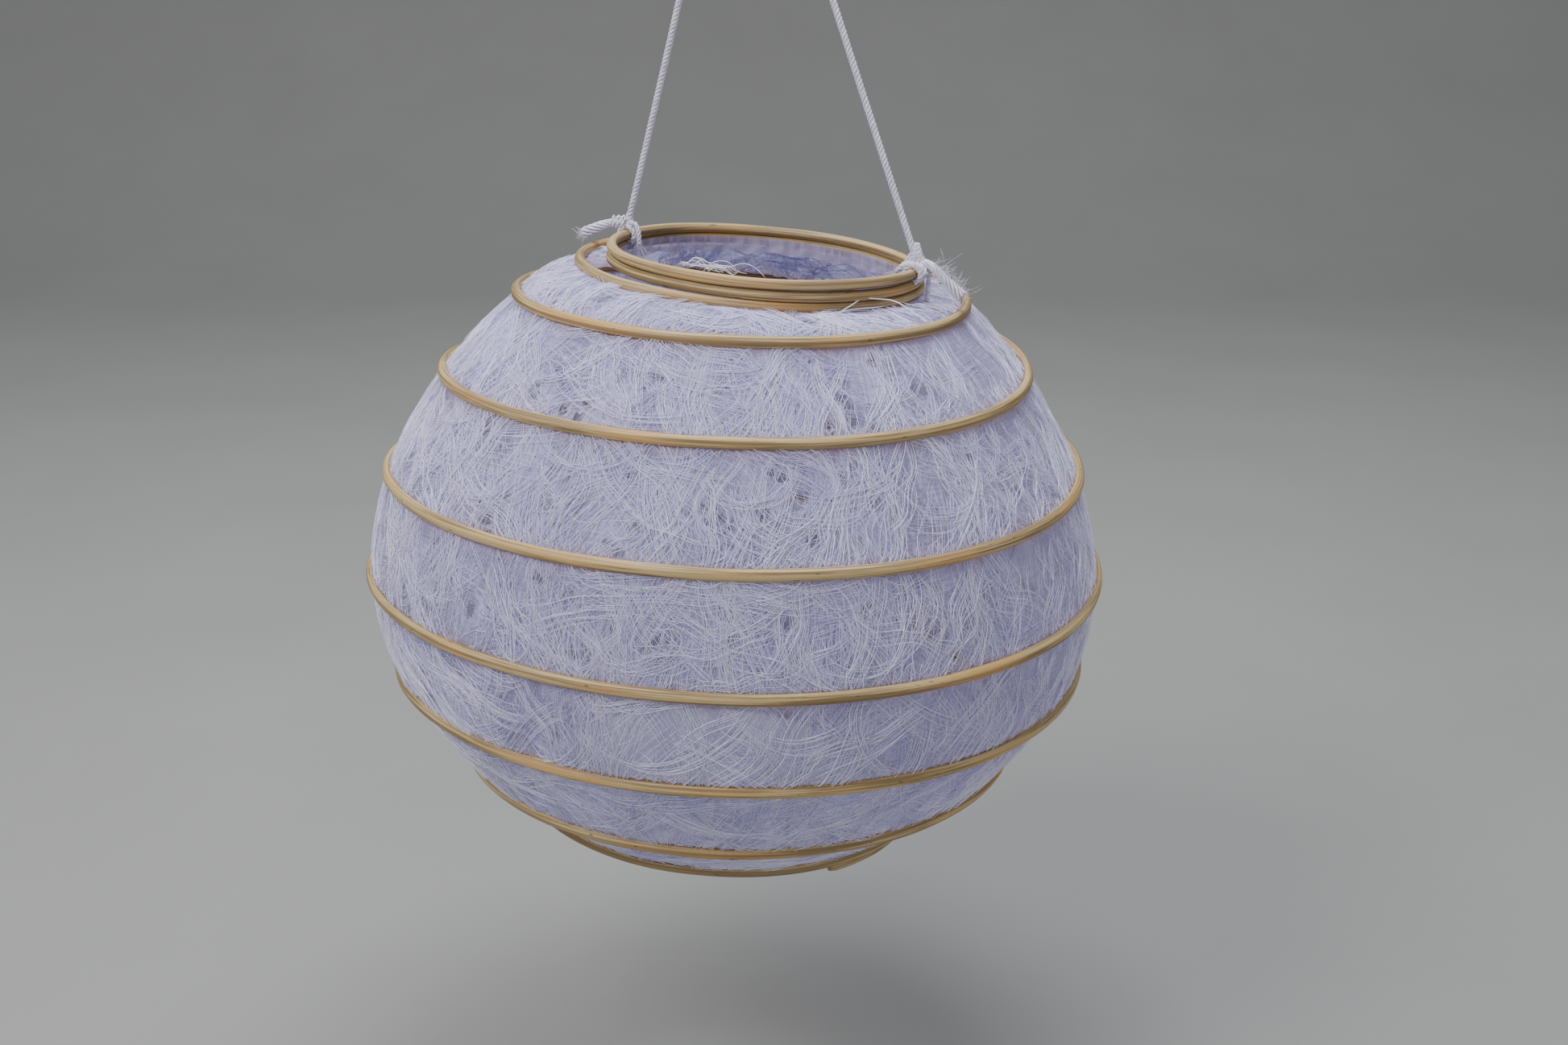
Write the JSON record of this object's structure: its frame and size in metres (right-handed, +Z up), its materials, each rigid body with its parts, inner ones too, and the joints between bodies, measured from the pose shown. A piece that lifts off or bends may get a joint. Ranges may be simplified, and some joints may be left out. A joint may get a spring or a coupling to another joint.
{
  "type": "spiral hanging lantern",
  "caption": "Round collapsible lantern: a rattan reed wound as one spiral, covered with thread on gauze, open at top and foot, hung from a cord.",
  "frame": {"origin": "the underside of the hook, at the top of the cord loop that the lantern hangs from", "axes": "+Z up along the pull of the hook; +X to the right and -Y to the front, where each pass of the spiral starts"},
  "size_m": [0.2478, 0.2492, 0.338],
  "materials": {
    "rattan": "bare round rattan core with fine lengthwise grain, a slight shine, and small dark specks",
    "cover": "sheer pale violet gauze under a web of silky white threads, gathered and fuzzy along the reed",
    "cord": "twisted white cotton cord, matt, with frayed ends"
  },
  "bodies": {
    "hanger": {"hanging_cord": "cord"},
    "mouth": {"mouth_hoop": "rattan", "coil_1": "rattan", "cover_0": "cover", "cover_1": "cover", "cord_knot_left": "cord", "cord_knot_right": "cord"},
    "ring_2": {"coil_2": "rattan", "cover_2": "cover"},
    "ring_3": {"coil_3": "rattan", "cover_3": "cover"},
    "ring_4": {"coil_4": "rattan", "cover_4": "cover"},
    "ring_5": {"coil_5": "rattan", "cover_5": "cover"},
    "ring_6": {"coil_6": "rattan", "cover_6": "cover"},
    "foot": {"coil_7": "rattan", "foot_hoop": "rattan", "cover_7": "cover"}
  },
  "joints": [
    {"name": "rock", "type": "hinge", "parent": "hanger", "child": "mouth", "pos_m": [0.0071, 0, -0.13405], "axis": [0.9257, -0.3739, -0.057], "range_deg": [-30, 30]},
    {"name": "collapse", "type": "slide", "parent": "mouth", "child": "foot", "axis": [0.0802, 0, 0.9968], "range_m": [0, 0.1546], "deforming": ["cover_6"]},
    {"name": "ring_2_lift", "type": "slide", "parent": "mouth", "child": "ring_2", "axis": [0.0802, 0, 0.9968], "range_m": [0, 0.01439], "deforming": ["cover_1"]},
    {"name": "ring_3_lift", "type": "slide", "parent": "mouth", "child": "ring_3", "axis": [0.0802, 0, 0.9968], "range_m": [0, 0.0385], "deforming": ["cover_2"]},
    {"name": "ring_4_lift", "type": "slide", "parent": "mouth", "child": "ring_4", "axis": [0.0802, 0, 0.9968], "range_m": [0, 0.06703], "deforming": ["cover_3"]},
    {"name": "ring_5_lift", "type": "slide", "parent": "mouth", "child": "ring_5", "axis": [0.0802, 0, 0.9968], "range_m": [0, 0.09504], "deforming": ["cover_4"]},
    {"name": "ring_6_lift", "type": "slide", "parent": "mouth", "child": "ring_6", "axis": [0.0802, 0, 0.9968], "range_m": [0, 0.1222], "deforming": ["cover_5"]}
  ],
  "couplings": [
    {"joint": "ring_2_lift", "follows": "collapse", "ratio": 0.09302},
    {"joint": "ring_3_lift", "follows": "collapse", "ratio": 0.24898},
    {"joint": "ring_4_lift", "follows": "collapse", "ratio": 0.43354},
    {"joint": "ring_5_lift", "follows": "collapse", "ratio": 0.6147},
    {"joint": "ring_6_lift", "follows": "collapse", "ratio": 0.79038}
  ]
}
